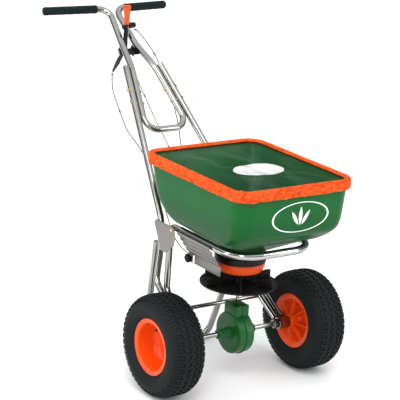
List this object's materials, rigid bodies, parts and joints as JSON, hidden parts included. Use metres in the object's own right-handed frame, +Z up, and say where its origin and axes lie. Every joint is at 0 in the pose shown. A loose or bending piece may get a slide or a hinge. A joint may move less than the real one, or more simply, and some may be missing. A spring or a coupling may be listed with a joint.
{
  "type": "broadcast spreader",
  "caption": "Walk-behind garden broadcast spreader: covered hopper, tyred wheels driving a geared spinner, tubular frame with hand levers, rate dial and side deflector.",
  "frame": {"origin": "on the ground, under the bottom centre of the machine's bounding box", "axes": "+Z up, +Y back towards the operator, +X to the operator's left; the hopper's front faces -Y"},
  "size_m": [0.677, 1.187, 1.0962],
  "materials": {
    "steel_tube": "satin bright-plated tube",
    "bright_steel": "polished plated steel",
    "grey_sheet": "dull galvanised sheet",
    "green_plastic": "satin moulded",
    "orange_plastic": "satin moulded",
    "orange_fabric": "woven, gathered",
    "clear_film": "clear flexible vinyl",
    "black_plastic": "fine texture",
    "black_foam": "closed-cell foam",
    "tyre_rubber": "matt",
    "yellow_zinc": "yellow passivated fastener",
    "cable_sheath": "smooth sheath"
  },
  "bodies": {
    "frame": {"left_rail": "steel_tube", "right_rail": "steel_tube", "handle_tube": "steel_tube", "left_grip": "black_foam", "right_grip": "black_foam", "left_handle_bolt_upper": "yellow_zinc", "right_handle_bolt_upper": "yellow_zinc", "left_handle_bolt_lower": "yellow_zinc", "right_handle_bolt_lower": "yellow_zinc", "hopper_loop": "bright_steel", "left_strut": "steel_tube", "right_strut": "steel_tube", "left_gusset": "grey_sheet", "right_gusset": "grey_sheet", "left_gusset_bolt": "yellow_zinc", "right_gusset_bolt": "yellow_zinc", "left_bearing": "steel_tube", "right_bearing": "steel_tube", "stand": "steel_tube", "cross_tube": "steel_tube", "gearbox_left_half": "green_plastic", "gearbox_right_half": "green_plastic", "shaft_seal": "green_plastic", "hopper": "green_plastic", "port_ring": "black_plastic", "lever_bracket": "black_plastic", "lever_pivot": "steel_tube", "rate_bracket": "black_plastic", "rate_cable": "cable_sheath", "shutoff_cable": "cable_sheath", "deflector_cable": "cable_sheath"},
    "drive_axle": {"axle": "steel_tube", "crown_gear": "steel_tube", "left_axle_collar": "bright_steel", "right_axle_collar": "bright_steel", "left_axle_cap": "bright_steel", "right_axle_cap": "bright_steel", "drive_wheel_rim": "orange_plastic", "drive_wheel_tyre": "tyre_rubber", "drive_wheel_valve": "black_plastic", "drive_pin": "bright_steel"},
    "coast_wheel": {"coast_wheel_rim": "orange_plastic", "coast_wheel_tyre": "tyre_rubber", "coast_wheel_valve": "black_plastic"},
    "spinner": {"spinner_shaft": "steel_tube", "pinion": "steel_tube", "spinner_disc": "black_plastic", "spinner_pin": "bright_steel", "agitator": "bright_steel"},
    "shutoff_plate_body": {"shutoff_plate": "grey_sheet"},
    "metering_ring_body": {"metering_ring": "orange_plastic"},
    "hopper_cover": {"cover_hem": "orange_fabric", "cover_film": "clear_film"},
    "side_deflector_body": {"side_deflector": "grey_sheet"},
    "deflector_knob_body": {"deflector_knob": "black_plastic"},
    "shutoff_lever_body": {"shutoff_lever": "black_plastic", "lever_grip": "orange_plastic"},
    "deflector_lever_body": {"deflector_lever": "black_plastic", "deflector_lever_knob": "black_plastic"},
    "rate_knob_body": {"rate_knob": "black_plastic"}
  },
  "joints": [
    {"name": "axle_spin", "type": "hinge", "parent": "frame", "child": "drive_axle", "pos_m": [0, -0.3115, 0.165], "axis": [1, 0, 0], "continuous": true},
    {"name": "coast_wheel_spin", "type": "hinge", "parent": "frame", "child": "coast_wheel", "pos_m": [0.2765, -0.3115, 0.165], "axis": [1, 0, 0], "continuous": true},
    {"name": "spinner_spin", "type": "hinge", "parent": "frame", "child": "spinner", "pos_m": [0, -0.3115, 0.314], "axis": [0, 0, 1], "continuous": true},
    {"name": "cover_lift", "type": "slide", "parent": "frame", "child": "hopper_cover", "axis": [0, 0, 1], "range_m": [0, 0.25]},
    {"name": "shutoff_lever_pivot", "type": "hinge", "parent": "frame", "child": "shutoff_lever_body", "pos_m": [0, 0.42938, 0.93616], "axis": [1, 0, 0], "range_deg": [-25, 0]},
    {"name": "shutoff_plate_turn", "type": "hinge", "parent": "frame", "child": "shutoff_plate_body", "pos_m": [0, -0.3115, 0.428], "axis": [0, 0, 1], "range_deg": [-30, 0]},
    {"name": "deflector_lever_pivot", "type": "hinge", "parent": "frame", "child": "deflector_lever_body", "pos_m": [0, 0.42938, 0.93616], "axis": [1, 0, 0], "range_deg": [-15, 0]},
    {"name": "side_deflector_swing", "type": "hinge", "parent": "frame", "child": "side_deflector_body", "pos_m": [-0.17, -0.3115, 0.492], "axis": [0, 1, 0], "range_deg": [0, 45]},
    {"name": "rate_knob_turn", "type": "hinge", "parent": "frame", "child": "rate_knob_body", "pos_m": [0.046, 0.4755, 1.016], "axis": [1, 0, 0], "range_deg": [0, 270]},
    {"name": "metering_ring_turn", "type": "hinge", "parent": "frame", "child": "metering_ring_body", "pos_m": [0, -0.3115, 0.4245], "axis": [0, 0, 1], "range_deg": [0, 30]},
    {"name": "deflector_knob_turn", "type": "hinge", "parent": "side_deflector_body", "child": "deflector_knob_body", "pos_m": [-0.1221, -0.2085, 0.4005], "axis": [-1, 0, 0], "continuous": true}
  ],
  "couplings": [
    {"joint": "spinner_spin", "follows": "axle_spin", "ratio": 3},
    {"joint": "shutoff_plate_turn", "follows": "shutoff_lever_pivot", "ratio": 1.2},
    {"joint": "side_deflector_swing", "follows": "deflector_lever_pivot", "ratio": -3},
    {"joint": "metering_ring_turn", "follows": "rate_knob_turn", "ratio": 0.1111}
  ]
}
